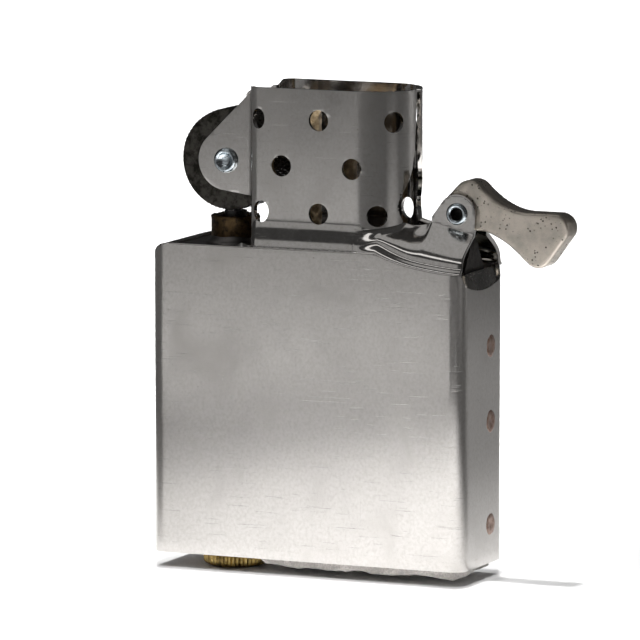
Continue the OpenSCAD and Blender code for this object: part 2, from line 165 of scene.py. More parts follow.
def bezier(a, b, c, d, t):
    """Cubic curve through a and d with handles b and c."""
    u = 1 - t
    return a * u ** 3 + b * 3 * u * u * t + c * 3 * u * t * t + d * t ** 3


def steps(start, end, size):
    """Even steps of about the given size, both ends kept."""
    n = max(1, round(abs(end - start) / size))
    return [start + (end - start) * i / n for i in range(n + 1)]


def runs(start, *parts):
    """Steps through several runs in a row, each given by its end and its step size."""
    stops = [start]
    for end, size in parts:
        stops += steps(start, end, size)[1:]
        start = end
    return stops


def inside(loop, points):
    """Which of the points lie inside a closed loop."""
    x, y = points[:, 0], points[:, 1]
    hit = np.zeros(len(points), bool)
    for (x0, y0), (x1, y1) in zip(loop, loop[1:] + loop[:1]):
        crosses = (y0 > y) != (y1 > y)
        slope = np.where(y1 == y0, 1.0, y1 - y0)
        hit ^= crosses & (x < (x1 - x0) * (y - y0) / slope + x0)
    return hit


def denser(loop, size):
    """The loop with extra points so that no edge is longer than size."""
    out = []
    for a, b in zip(loop, loop[1:] + loop[:1]):
        n = max(1, math.ceil(math.dist(a, b) / size))
        out += [(mix(a[0], b[0], i / n), mix(a[1], b[1], i / n)) for i in range(n)]
    return out


def flat_sheet(outline, holes, columns, rows, gap):
    """Triangles that fill an outline less its holes, on a lattice of columns and rows."""
    loops = [outline] + holes
    rim = np.array([p for loop in loops for p in loop])

    def in_sheet(places):
        keep = inside(outline, places)
        for hole in holes:
            keep &= ~inside(hole, places)
        return keep

    lattice = np.array([(x, y) for x in columns for y in rows])
    lattice = lattice[in_sheet(lattice)]
    near = np.sqrt(((lattice[:, None, :] - rim[None, :, :]) ** 2).sum(2)).min(1)
    lattice = lattice[near > gap]
    points, edges = [], []
    for loop in loops:
        first = len(points)
        points += [Vector(p) for p in loop]
        edges += [(first + i, first + (i + 1) % len(loop)) for i in range(len(loop))]
    points += [Vector(p) for p in lattice]
    found, _, faces, _, _, _ = delaunay_2d_cdt(points, edges, [], 0, 1e-7)
    flat = np.array([tuple(p) for p in found])
    centres = np.array([flat[list(f)].mean(0) for f in faces])
    return flat, [tuple(f) for f, keep in zip(faces, in_sheet(centres)) if keep]


def place(obj, body, slot, material, replaced=()):
    """Gives a piece its material and its body and hides the CAD nodes that it stands for; slot is not used.
    """
    obj.data.materials.clear()
    for one in material if isinstance(material, tuple) else (material,):
        obj.data.materials.append(one)
    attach(obj, body)
    if replaced:
        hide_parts(*replaced)
    return obj


def new_object(name, points, faces, smooth=True):
    """Mesh object from points in millimetres."""
    mesh = bpy.data.meshes.new(name)
    mesh.from_pydata([Vector(p) * MM for p in points], [], faces)
    mesh.validate()
    obj = bpy.data.objects.new(name, mesh)
    bpy.context.scene.collection.objects.link(obj)
    for polygon in mesh.polygons:
        polygon.use_smooth = smooth
    return obj


def tidy(obj, merge=0.001, outward=True):
    """Merges doubled points and turns the faces outwards."""
    edit = bmesh.new()
    edit.from_mesh(obj.data)
    bmesh.ops.remove_doubles(edit, verts=edit.verts, dist=merge * MM)
    bmesh.ops.dissolve_degenerate(edit, edges=edit.edges, dist=1e-4 * MM)
    if outward:
        bmesh.ops.recalc_face_normals(edit, faces=edit.faces)
    edit.to_mesh(obj.data)
    edit.free()
    return obj


def finish_mesh(obj, *modifiers):
    """Adds modifiers, given as (type, settings), and applies them in order."""
    for kind, settings in modifiers:
        modifier = obj.modifiers.new(kind, kind)
        for key, value in settings.items():
            setattr(modifier, key, value)
    bpy.context.view_layer.update()
    graph = bpy.context.evaluated_depsgraph_get()
    result = bpy.data.meshes.new_from_object(obj.evaluated_get(graph), depsgraph=graph)
    obj.modifiers.clear()
    obj.data = result
    return obj


def sharp_by_angle(obj, degrees=32):
    """Smooth shading with edges sharper than the angle kept crisp."""
    obj.data.set_sharp_from_angle(angle=math.radians(degrees))
    return obj


def thick(thickness, inner=0):
    """Settings that thicken a skin inwards; inner is the material slot of its inside."""
    return ("SOLIDIFY", {"thickness": thickness * MM, "offset": -1.0, "material_offset": inner})


def soft_edges(width, segments=2, degrees=35):
    """Settings of a small bevel on every sharp edge."""
    return ("BEVEL", {"width": width * MM, "segments": segments, "limit_method": "ANGLE",
                      "angle_limit": math.radians(degrees), "harden_normals": False,
                      "use_clamp_overlap": True})


def grid_faces(rows, columns, closed=False):
    """Quads of a lattice stored row by row; closed joins the last column to the first."""
    last = columns if closed else columns - 1
    return [(r * columns + c, r * columns + (c + 1) % columns,
             (r + 1) * columns + (c + 1) % columns, (r + 1) * columns + c)
            for r in range(rows - 1) for c in range(last)]


def lathe(profile, n, turn, ripple=None):
    """Surface of revolution: profile of (radius, height), turn maps local x, y, z to the frame."""
    points = []
    for k, (radius, height) in enumerate(profile):
        for i in range(n):
            a = 2 * math.pi * i / n
            r, h = (radius, height) if ripple is None else ripple(a, radius, height, k)
            points.append(turn(r * math.cos(a), r * math.sin(a), h))
    return points, grid_faces(len(profile), n, closed=True)


def upright(x, y):
    """Turn for a lathe about a vertical axis."""
    return lambda a, b, h: Vector((x + a, y + b, h))


def crosswise(x, z):
    """Turn for a lathe about an axis along Y."""
    return lambda a, b, h: Vector((x + a, h, z + b))


def noise_round(a, size, z):
    """Noise on a circle, so that it closes on itself."""
    return noise.noise(Vector((math.cos(a) * size, math.sin(a) * size, z)))


def ringed(rings, around, at):
    """Points of rings: at(t, a) is the point at share t of the way and at angle a."""
    return [at(i / rings, 2 * math.pi * k / around) for i in range(rings + 1) for k in range(around)]


def add_part(points, faces, more_points, more_faces):
    """Adds a second skin to lists of points and faces."""
    shift = len(points)
    points += more_points
    faces += [tuple(shift + i for i in f) for f in more_faces]


def tube_along(path, radius, sides, ripple=None):
    """Round tube along a path, closed at both ends with flat caps."""
    points = []
    last = len(path) - 1
    for i, centre in enumerate(path):
        ahead = (path[min(i + 1, last)] - path[max(i - 1, 0)]).normalized()
        side = Vector((0, 1, 0)).cross(ahead)
        side = side.normalized() if side.length > 1e-6 else Vector((1, 0, 0))
        up = ahead.cross(side)
        for k in range(sides):
            a = 2 * math.pi * k / sides
            r = radius if ripple is None else ripple(i / last, a, radius)
            points.append(centre + side * (r * math.cos(a)) + up * (r * math.sin(a)))
    faces = grid_faces(len(path), sides, closed=True)
    faces.append(tuple(range(sides)))
    faces.append(tuple(reversed(range(last * sides, (last + 1) * sides))))
    return points, faces


# ---------------------------------------------------------------- materials

class Nodes:
    """Short way to wire a material's nodes."""

    def __init__(self, name):
        self.material = bpy.data.materials.new(name)
        self.material.use_nodes = True
        self.tree = self.material.node_tree
        self.shader = self.tree.nodes["Principled BSDF"]
        self.place = self.tree.nodes.new("ShaderNodeTexCoord").outputs["Object"]

    def link(self, source, target):
        self.tree.links.new(source, target)

    def stretch(self, scale, turn=(0, 0, 0)):
        """Object coordinates in millimetres, scaled and turned."""
        node = self.tree.nodes.new("ShaderNodeMapping")
        node.inputs["Scale"].default_value = [s / MM for s in scale]
        node.inputs["Rotation"].default_value = [math.radians(t) for t in turn]
        self.link(self.place, node.inputs["Vector"])
        return node.outputs["Vector"]

    def noise(self, scale=(1, 1, 1), detail=3, rough=0.55, turn=(0, 0, 0), distort=0.0):
        node = self.tree.nodes.new("ShaderNodeTexNoise")
        node.inputs["Scale"].default_value = 1.0
        node.inputs["Detail"].default_value = detail
        node.inputs["Roughness"].default_value = rough
        node.inputs["Distortion"].default_value = distort
        self.link(self.stretch(scale, turn), node.inputs["Vector"])
        return node.outputs["Fac"]

    def cells(self, scale, feature="F1"):
        node = self.tree.nodes.new("ShaderNodeTexVoronoi")
        node.feature = feature
        node.inputs["Scale"].default_value = 1.0
        self.link(self.stretch(scale), node.inputs["Vector"])
        return node.outputs["Distance"]

    def along(self, axis):
        """Distance along one axis of the frame, in millimetres."""
        node = self.tree.nodes.new("ShaderNodeSeparateXYZ")
        self.link(self.stretch((1, 1, 1)), node.inputs["Vector"])
        return node.outputs[axis]

    def ramp(self, source, low, high, bottom=0.0, top=1.0):
        """Maps a value from low..high to bottom..top, clamped."""
        node = self.tree.nodes.new("ShaderNodeMapRange")
        node.interpolation_type = "SMOOTHSTEP"
        for key, value in (("From Min", low), ("From Max", high), ("To Min", bottom), ("To Max", top)):
            node.inputs[key].default_value = value
        self.link(source, node.inputs["Value"])
        return node.outputs["Result"]

    def maths(self, operation, a, b):
        node = self.tree.nodes.new("ShaderNodeMath")
        node.operation = operation
        for socket, value in zip(node.inputs, (a, b)):
            if isinstance(value, (int, float)):
                socket.default_value = value
            else:
                self.link(value, socket)
        return node.outputs[0]

    def blend_colours(self, mask, first, second):
        node = self.tree.nodes.new("ShaderNodeMix")
        node.data_type = "RGBA"
        sockets = [s for s in node.inputs if s.type == "RGBA"]
        for socket, value in zip(sockets, (first, second)):
            if isinstance(value, tuple):
                socket.default_value = (*value, 1.0)
            else:
                self.link(value, socket)
        self.link(mask, node.inputs["Factor"])
        return [s for s in node.outputs if s.type == "RGBA"][0]

    def bump(self, height, depth):
        """Bump of a height of 0..1 that is depth millimetres deep."""
        node = self.tree.nodes.new("ShaderNodeBump")
        node.inputs["Strength"].default_value = 1.0
        node.inputs["Distance"].default_value = depth * MM
        self.link(height, node.inputs["Height"])
        self.link(node.outputs["Normal"], self.shader.inputs["Normal"])

    def set(self, **values):
        for key, value in values.items():
            self.shader.inputs[key.replace("_", " ")].default_value = value

    def finish(self, colour, roughness):
        self.link(colour, self.shader.inputs["Base Color"])
        self.link(roughness, self.shader.inputs["Roughness"])
        return self.material


def worn_steel(name, clean, grime, rough_low, rough_high, dirt=0.5, grain=(0.25, 0.25, 7.0), depth=0.004):
    """Satin sheet steel with rolling grain, scratches, cloudy tarnish and specks of grime."""
    n = Nodes(name)
    rolled = n.noise(grain, detail=4, rough=0.6)
    cloudy = n.noise((0.16, 0.16, 0.12), detail=5, rough=0.6, distort=0.6)
    fine = n.noise((3.1, 3.1, 2.6), detail=5, rough=0.75)
    scratch_a = n.ramp(n.noise((0.22, 0.22, 9.0), 2, 0.5, turn=(0, 38, 0)), 0.665, 0.72)
    scratch_b = n.ramp(n.noise((8.0, 8.0, 0.16), 2, 0.5, turn=(0, 14, 0)), 0.675, 0.72)
    scratches = n.maths("MAXIMUM", scratch_a, scratch_b)
    specks = n.ramp(n.cells((0.85, 0.85, 0.75)), 0.1, 0.035)
    patchy = n.ramp(n.noise((0.3, 0.3, 0.22), 3, 0.6), 0.56, 0.68)
    specks = n.maths("MULTIPLY", specks, patchy)
    tarnish = n.ramp(cloudy, 0.48, 0.75, 0.0, dirt)
    mottle = n.ramp(fine, 0.35, 0.7, 0.0, 0.35)
    dirty = n.maths("MAXIMUM", n.maths("MAXIMUM", tarnish, mottle), n.maths("MULTIPLY", specks, 0.95))
    colour = n.blend_colours(dirty, clean, grime)
    rough = n.maths("ADD", n.ramp(cloudy, 0.3, 0.7, rough_low, rough_high),
                    n.maths("MULTIPLY", n.maths("ADD", scratches, specks), 0.1))
    height = n.maths("SUBTRACT", n.maths("ADD", n.maths("MULTIPLY", rolled, 0.7),
                                         n.maths("MULTIPLY", fine, 0.6)),
                     n.maths("MULTIPLY", scratches, 0.5))
    n.bump(height, depth)
    n.set(Metallic=1.0)
    return n.finish(colour, rough)


def plain_metal(name, clean, grime, rough_low, rough_high, mottle=(1.3, 1.3, 1.3), depth=0.01):
    """Small metal part with mottled tarnish."""
    n = Nodes(name)
    stain = n.ramp(n.noise(mottle, 5, 0.65), 0.4, 0.66)
    fine = n.noise((6, 6, 6), 4, 0.7)
    n.bump(fine, depth)
    n.set(Metallic=1.0)
    return n.finish(n.blend_colours(stain, clean, grime), n.ramp(fine, 0.3, 0.7, rough_low, rough_high))


def pitted_steel(name):
    """Warm grey sintered steel with pits and dark grime in them; the extra dark pits towards the ear and
    the foot are painted shade.
    """
    n = Nodes(name)
    pits = n.ramp(n.cells((2.4, 2.4, 2.4)), 0.30, 0.12)
    # Below x 19.4 and below z 35.2 the pits crowd together: painted shade where the cam sits between the
    # ears and above the leaf spring.
    painted_shade_by_ear = n.ramp(n.along("X"), 17.9, 19.4, 0.17, 0.0)
    painted_shade_by_foot = n.ramp(n.along("Z"), 35.2, 32.8, 0.0, 0.12)
    patchy = n.maths("ADD", n.noise((0.55, 0.55, 0.55), 3, 0.6), n.maths("ADD", painted_shade_by_ear, painted_shade_by_foot))
    pits = n.maths("MULTIPLY", pits, n.ramp(patchy, 0.5, 0.62))
    fine = n.noise((5, 5, 5), 5, 0.7)
    cloudy = n.noise((0.5, 0.5, 0.5), 4, 0.6)
    base = n.blend_colours(n.ramp(cloudy, 0.35, 0.65), (0.60, 0.54, 0.47), (0.44, 0.40, 0.345))
    n.bump(n.maths("SUBTRACT", n.maths("MULTIPLY", fine, 0.5), pits), 0.05)
    n.set(Metallic=1.0)
    # Near-black pit colour: grime in the real pits, and painted shade where the pits crowd near the ear and
    # the foot.
    return n.finish(n.blend_colours(pits, base, (0.07, 0.06, 0.05)),
                    n.maths("ADD", n.ramp(fine, 0.3, 0.7, 0.3, 0.46), n.maths("MULTIPLY", pits, 0.3)))


def fibrous(name, light, dark, scale, depth, sheen=0.3):
    """Felt, cotton or rayon: fine tangled fibres."""
    n = Nodes(name)
    tangle = n.noise(scale, 6, 0.75, distort=1.5)
    broad = n.noise([s * 0.15 for s in scale], 3, 0.5)
    mask = n.maths("MULTIPLY", n.ramp(tangle, 0.35, 0.65), n.ramp(broad, 0.2, 0.8, 0.5, 1.0))
    n.bump(tangle, depth)
    n.set(Metallic=0.0, Sheen_Weight=sheen, Sheen_Roughness=0.5)
    return n.finish(n.blend_colours(mask, dark, light), n.ramp(tangle, 0.3, 0.7, 0.8, 0.95))


STEEL = worn_steel("casing_steel", (0.54, 0.52, 0.50), (0.31, 0.28, 0.25), 0.09, 0.18, dirt=0.35)
SCREEN_STEEL = worn_steel("screen_steel", (0.58, 0.56, 0.54), (0.36, 0.33, 0.29), 0.07, 0.15,
                          dirt=0.35, grain=(0.3, 0.3, 5.0), depth=0.002)
SOOT_STEEL = worn_steel("sooty_steel", (0.30, 0.25, 0.19), (0.07, 0.055, 0.04), 0.3, 0.5, dirt=0.8)
# Near-black steel; on the shoulder plate it is tarnish and also painted shade of the plate's recess.
DARK_STEEL = worn_steel("dark_steel", (0.16, 0.15, 0.145), (0.045, 0.04, 0.035), 0.25, 0.4, dirt=0.6)
# Darker copy of the casing steel for the end wall's lip: painted shade of the lip leaning in, with tarnish
# of its own.
LIP_STEEL_PAINTED_SHADE = worn_steel("lip_steel_painted_shade", (0.36, 0.35, 0.33), (0.16, 0.15, 0.14), 0.2, 0.32, dirt=0.5)
LEAF_STEEL = plain_metal("leaf_steel", (0.06, 0.056, 0.052), (0.025, 0.022, 0.02), 0.4, 0.6)
WHEEL_STEEL = plain_metal("wheel_steel", (0.075, 0.07, 0.062), (0.02, 0.018, 0.015), 0.35, 0.6)
ZINC = plain_metal("zinc", (0.62, 0.68, 0.72), (0.32, 0.36, 0.38), 0.1, 0.22, depth=0.004)
SOLDER = plain_metal("solder", (0.5, 0.49, 0.47), (0.18, 0.17, 0.16), 0.3, 0.5, depth=0.02)
BRASS = plain_metal("brass", (0.46, 0.33, 0.12), (0.12, 0.08, 0.03), 0.25, 0.45)
BURNT_BRASS = plain_metal("burnt_brass", (0.13, 0.085, 0.042), (0.03, 0.022, 0.016), 0.35, 0.6)
FLINT_METAL = plain_metal("flint_alloy", (0.14, 0.135, 0.13), (0.04, 0.04, 0.04), 0.4, 0.7)
SPRING_STEEL = plain_metal("spring_steel", (0.52, 0.52, 0.5), (0.25, 0.24, 0.22), 0.2, 0.35)
CAM_STEEL = pitted_steel("cam_steel")
WELD_STEEL = plain_metal("weld_steel", (0.40, 0.29, 0.24), (0.22, 0.13, 0.10), 0.3, 0.5, (2.2, 2.2, 2.2))
COPPER = plain_metal("copper", (0.5, 0.24, 0.12), (0.15, 0.08, 0.05), 0.3, 0.5)
COTTON = fibrous("wick_cotton", (0.72, 0.58, 0.36), (0.28, 0.18, 0.09), (5, 5, 5), 0.05)
RAYON = fibrous("packing_fibre", (0.86, 0.85, 0.81), (0.6, 0.58, 0.53), (4, 4, 4), 0.08)
FELT = fibrous("felt", (0.72, 0.68, 0.64), (0.3, 0.28, 0.26), (3.5, 3.5, 3.5), 0.12)


# ---------------------------------------------------------------- the folded sheet

def shoulder_z(x):
    """Height of the shoulder line: level, then falling towards the cam end."""
    return TANK_H if x < 8 else TANK_H - 2.2 * (1 - math.exp((8 - x) / 5))


FLAT_END = HALF_D - CORNER_R
FLAT_FRONT = HALF_L - CORNER_R
CORNER_RUN = CORNER_R * math.pi / 2
FRONT_START = FLAT_END + CORNER_RUN
FRONT_END = FRONT_START + 2 * FLAT_FRONT
RUN_END = FRONT_END + CORNER_RUN + FLAT_END


def tank_plan(p):
    """Point of the tank's outline, p along it from the middle of one end to the other."""
    if p < FLAT_END:
        return -HALF_L, -p
    if p < FRONT_START:
        a = (p - FLAT_END) / CORNER_R
        return -FLAT_FRONT - CORNER_R * math.cos(a), -FLAT_END - CORNER_R * math.sin(a)
    if p < FRONT_END:
        return p - FRONT_START - FLAT_FRONT, -HALF_D
    if p < FRONT_END + CORNER_RUN:
        a = (p - FRONT_END) / CORNER_R
        return FLAT_FRONT + CORNER_R * math.sin(a), -FLAT_END - CORNER_R * math.cos(a)
    return HALF_L, p - RUN_END


def tank_top(p):
    """Height of the tank wall at p."""
    x, y = tank_plan(p)
    if x < FLAT_FRONT:
        return shoulder_z(x)
    scoop = 29.35 + 1.15 * (abs(y) / HALF_D) ** 2
    return mix(shoulder_z(x), scoop, ease((x - FLAT_FRONT - 1.15) / 0.4))


def tank_point(p, z):
    """Point of the tank wall, with the top of the wheel end rolled over."""
    x, y = tank_plan(p)
    centre = TANK_H - ROLL_R
    if z > centre:
        rolled = -HALF_L + ROLL_R - math.sqrt(max(0.0, ROLL_R ** 2 - (z - centre) ** 2))
        x = max(x, rolled)
    return Vector((x, y, z))


def build_tank():
    """Tank walls, front and back halves joined at the two ends."""
    roll_end = FRONT_START + 2.6
    stops = runs(0, (FLAT_END, 0.7), (FRONT_START, 0.16), (roll_end, 0.3), (FRONT_END, 0.8),
                 (FRONT_END + CORNER_RUN, 0.16), (RUN_END, 0.5))
    levels = [i / 24 * 0.93 for i in range(24)] + [0.93 + 0.07 * i / 16 for i in range(17)]
    points = [tank_point(p, tank_top(p) * t) for t in levels for p in stops]
    obj = tidy(new_object("tank_walls", *mirrored(points, grid_faces(len(levels), len(stops)))))
    finish_mesh(obj, thick(SHEET, 1), soft_edges(0.09, 2, 50))
    place(obj, "casing", "casing_steel", (STEEL, SOOT_STEEL), ["tank_shell"])
    return sharp_by_angle(obj)


# Run of the screen's sheet: s is the length along it from x = 0 on the front wall
CONVEX_RUN = BEND_R * math.pi / 2
HOLLOW_RUN = HOLLOW_R * math.pi / 2
HOLLOW_X = BEND_X - BEND_R - HOLLOW_R
SIDE_S = BEND_X - CONVEX_RUN
EAR_S = SIDE_S - HOLLOW_RUN
EAR_AT = EAR_S + (WHEEL_AT.x - HOLLOW_X)


def screen_plan(s):
    """Point and outward direction of the screen's outline seen from above."""
    if s > END_X:
        a = (s - END_X) / SCREEN_Y
        away = Vector((math.sin(a), -math.cos(a)))
        return Vector((END_X, 0)) + away * SCREEN_Y, away
    if s >= BEND_X:
        return Vector((s, -SCREEN_Y)), Vector((0, -1))
    if s >= SIDE_S:
        a = (BEND_X - s) / BEND_R
        away = Vector((-math.sin(a), -math.cos(a)))
        return Vector((BEND_X, -BEND_Y)) + away * BEND_R, away
    if s >= EAR_S:
        a = (SIDE_S - s) / HOLLOW_R
        away = Vector((-math.cos(a), -math.sin(a)))
        return Vector((HOLLOW_X, -BEND_Y)) - away * HOLLOW_R, away
    return Vector((HOLLOW_X + s - EAR_S, -EAR_Y)), Vector((0, -1))


def screen_point(s, z):
    """Point of the screen, swept out at its foot to meet the tank wall."""
    at, away = screen_plan(s)
    reach = STEP_D * (1 - ease((z - TANK_H) / STEP_RISE))
    if s > END_X:
        reach *= max(0.0, 1 - (s - END_X) / 1.5)
    elif s < BEND_X:
        reach *= max(0.0, -away.y) ** 2
    at = at + Vector((0, -1)) * reach if s < END_X else at + away * reach
    return Vector((at.x, at.y, z))


def seam_s(z):
    """Length along the sheet at which the seam opens, at height z."""
    half = np.interp(z, [33, 36.2, 37.2, 38.4, 39.2, 40.5, 41.8, 43.9, 49, 50.2],
                     [2.5, 2.5, 2.95, 3.05, 2.7, 1.85, 1.28, 0.85, 0.5, 0.45])
    return END_X + SCREEN_Y * (math.pi / 2 - math.asin(half / SCREEN_Y))


def screen_outline():
    """Outline of the flattened screen: along the foot, up the seam, along the rim, round the ear."""
    tilt = 8
    ear = arc(EAR_AT, WHEEL_AT.z, EAR_R, 135, 270 - tilt, 24)
    foot_x, foot_z = ear[-1]
    foot_z -= (SIDE_S - foot_x) * math.tan(math.radians(tilt))
    rim_corner = ear[0][0] + (SCREEN_TOP - 0.35 - ear[0][1])
    loop = [(SIDE_S, foot_z), (SIDE_S, TANK_H), (seam_s(33), TANK_H)]
    loop += [(seam_s(z), z) for z in steps(35.4, SCREEN_TOP - 0.3, 0.25)]
    loop += [(seam_s(SCREEN_TOP) - 0.12, SCREEN_TOP - 0.08), (seam_s(SCREEN_TOP) - 0.4, SCREEN_TOP)]
    loop += [(rim_corner + 0.75, SCREEN_TOP), (rim_corner + 0.3, SCREEN_TOP - 0.1),
             (rim_corner, SCREEN_TOP - 0.35)]
    return loop + ear


def ring(x, y, r, n=40, tall=None):
    """Closed loop of points: a circle, or an oval with its own half height."""
    return [(x + r * math.cos(2 * math.pi * i / n), y + (tall or r) * math.sin(2 * math.pi * i / n))
            for i in range(n)]


VENT_TOP, VENT_MIDDLE, VENT_LOW = 46.85, 41.9, 37.0
VENTS = [(1.27, VENT_TOP), (END_X + SCREEN_Y * 0.834, VENT_TOP), (-3.0, VENT_MIDDLE), (5.06, VENT_MIDDLE),
         (1.26, VENT_LOW), (END_X + SCREEN_Y * 0.471, VENT_LOW)]
FOLD_VENTS = [(-5.67, VENT_TOP - 0.05, 0.74, 1.08), (-5.36, VENT_LOW, 0.88, 1.14)]


def mirrored(points, faces):
    """The points and faces with their mirror image across the middle plane added."""
    shift = len(points)
    back = [Vector((p[0], -p[1], p[2])) for p in points]
    return list(points) + back, faces + [tuple(shift + i for i in reversed(f)) for f in faces]


def facing(points, faces, towards):
    """Faces turned so that the whole skin mostly looks along a direction."""
    total = Vector((0, 0, 0))
    for f in faces:
        a, b, c = (points[i] for i in f[:3])
        total += (b - a).cross(c - a)
    return faces if total.dot(towards) > 0 else [tuple(reversed(f)) for f in faces]


def build_screen():
    """Pierced wind screen with its wheel ears, front and back."""
    outline = denser(screen_outline(), 0.3)
    holes = [ring(s, z, VENT_R) for s, z in VENTS] + [ring(EAR_AT, WHEEL_AT.z, 1.0, 24)]
    holes += [ring(s, z, wide, tall=tall) for s, z, wide, tall in FOLD_VENTS]
    columns = runs(-14, (EAR_S, 0.5), (SIDE_S, 0.1), (BEND_X, 0.12), (END_X, 0.45), (14, 0.25))
    rows = runs(TANK_H, (TANK_H + STEP_RISE, 0.15), (SCREEN_TOP, 0.4))
    flat, faces = flat_sheet(outline, holes, columns, rows, 0.07)
    points = [screen_point(s, z) for s, z in flat]
    faces = facing(points, faces, Vector((0, -1, 0)))
    obj = new_object("screen_sheet", *mirrored(points, faces))
    tidy(obj, outward=False)
    finish_mesh(obj, thick(SHEET, 1), soft_edges(0.13, 3, 50))
    place(obj, "casing", "casing_steel", (SCREEN_STEEL, SOOT_STEEL), ["wind_screen"])
    return sharp_by_angle(obj, 40)


# Wing: from the shoulder line, over a small step and a roll, up to the crease below the cam ear
WING_PHI = math.radians(62)
WING_SPLIT = 0.38
WING_RIGHT_FOOT = HALF_L - 0.3
WING_RIGHT_HEAD = HALF_L - 0.35
CREASE_LEFT = 12.8
HEAD_START = Vector((END_X + SCREEN_Y * math.sin(WING_PHI), -SCREEN_Y * math.cos(WING_PHI), 36.25))


def wing_foot(u):
    x = mix(END_X, WING_RIGHT_FOOT, u)
    c = 0.55 * max(0.0, x - FLAT_FRONT)
    return Vector((x, -FLAT_END - math.sqrt(CORNER_R ** 2 - c * c), shoulder_z(x)))


def wing_head(u):
    if u < WING_SPLIT:
        t = u / WING_SPLIT
        return screen_point(END_X + SCREEN_Y * WING_PHI * t, 35.6 + 0.65 * t * t)
    x = mix(HEAD_START.x, WING_RIGHT_HEAD, (u - WING_SPLIT) / (1 - WING_SPLIT))
    k = (x - HEAD_START.x) / (CREASE_LEFT - HEAD_START.x)
    y = mix(HEAD_START.y, -CAM_EAR_Y, ease(min(1.0, k)))
    if k < 1:
        return Vector((x, y, HEAD_START.z + 0.15 * k - 0.34 * math.sin(math.pi * k)))
    return Vector((x, y, 36.4 - 0.25 * (x - CREASE_LEFT)))


def rolled_section(foot, head, settle, v):
    """Wing section away from the screen: a small step, a roll and a straight slope."""
    depth, height = mix(STEP_D, 0.42, settle), mix(STEP_H, 0.8, settle)
    share = 0.3
    if v < share:
        t = v / share
        return foot + Vector((0, depth * ease(t), height * t))
    ledge = foot + Vector((0, depth, height))
    span = (head - ledge).length
    slope = (head - ledge + Vector((0, 0, -0.12 * span))).normalized()
    end_way = Vector((0, 0, 1)).lerp(slope, settle).normalized()
    grip = mix(0.42, 0.3, settle) * span
    return bezier(ledge, ledge + Vector((0, 0, grip)), head - end_way * grip, head,
                  (v - share) / (1 - share))


def wing_point(u, v):
    """A point of the wing: v runs from the shoulder line up to the crease."""
    foot, head = wing_foot(u), wing_head(u)
    level = mix(foot.z, head.z, v)
    swept = foot.lerp(head, v)
    share = ease((level - foot.z) / STEP_RISE) / ease((head.z - foot.z) / STEP_RISE)
    swept.y = mix(foot.y, head.y, share)
    return swept.lerp(rolled_section(foot, head, ease(u / 0.6), v), ease(u / 0.3))


def build_wings():
    """Wings and cam ears, front and back, each one sheet with the ear folded up."""
    nu, nv = 72, 34
    us = [i / nu for i in range(nu + 1)]
    points = [wing_point(u, j / nv) for j in range(nv + 1) for u in us]
    faces = facing(points, grid_faces(nv + 1, nu + 1), Vector((0, -1, 0)))
    crease = [wing_head(u) for u in us if wing_head(u).x >= CREASE_LEFT]
    outline = [(p.x, p.z) for p in crease]
    outline += [(CAM_AT.x + CAM_EAR_R - 0.02, CAM_AT.z - 1.2)]
    outline += arc(CAM_AT.x, CAM_AT.z, CAM_EAR_R, 0, 148, 30)
    outline += [(CREASE_LEFT + 0.08, 37.0)]
    ear, ear_faces = flat_sheet(outline, [ring(CAM_AT.x, CAM_AT.z, 0.9, 32)],
                                steps(12, 18, 0.3), steps(35, 40, 0.3), 0.1)
    ear_points = [Vector((x, -CAM_EAR_Y, z)) for x, z in ear]
    ear_faces = facing(ear_points, ear_faces, Vector((0, -1, 0)))
    add_part(points, faces, ear_points, ear_faces)
    obj = new_object("wing_sheets", *mirrored(points, faces))
    tidy(obj, merge=0.02, outward=False)
    finish_mesh(obj, thick(SHEET, 1), soft_edges(0.08, 2, 38))
    place(obj, "casing", "casing_steel", (SCREEN_STEEL, SOOT_STEEL), ["cam_ears"])
    return sharp_by_angle(obj, 40)


def build_end_lip():
    """Top of the end wall leaning in behind the scooped edge, in a darker copy of the casing steel as
    painted shade.
    """
    ny, nz = 40, 10
    wide = FLAT_END + 0.75
    points = []
    for j in range(nz + 1):
        for i in range(ny + 1):
            y = mix(-wide, wide, i / ny)
            low = 29.0 + 1.15 * (abs(y) / HALF_D) ** 2
            z = mix(low, 31.3 - 0.25 * (abs(y) / wide) ** 4, j / nz)
            round_off = 0.35 * max(0.0, abs(y) - FLAT_END + 0.3)
            points.append(Vector((HALF_L - 0.06 - 0.62 * (j / nz) ** 1.2 - round_off, y, z)))
    faces = facing(points, grid_faces(nz + 1, ny + 1), Vector((1, 0, 0)))
    obj = new_object("end_wall_lip", points, faces)
    finish_mesh(obj, thick(0.35), soft_edges(0.08, 2, 50))
    place(obj, "casing", "dark_steel", LIP_STEEL_PAINTED_SHADE, ["end_lip"])
    return sharp_by_angle(obj)


# ---------------------------------------------------------------- wheel, rivets, cam

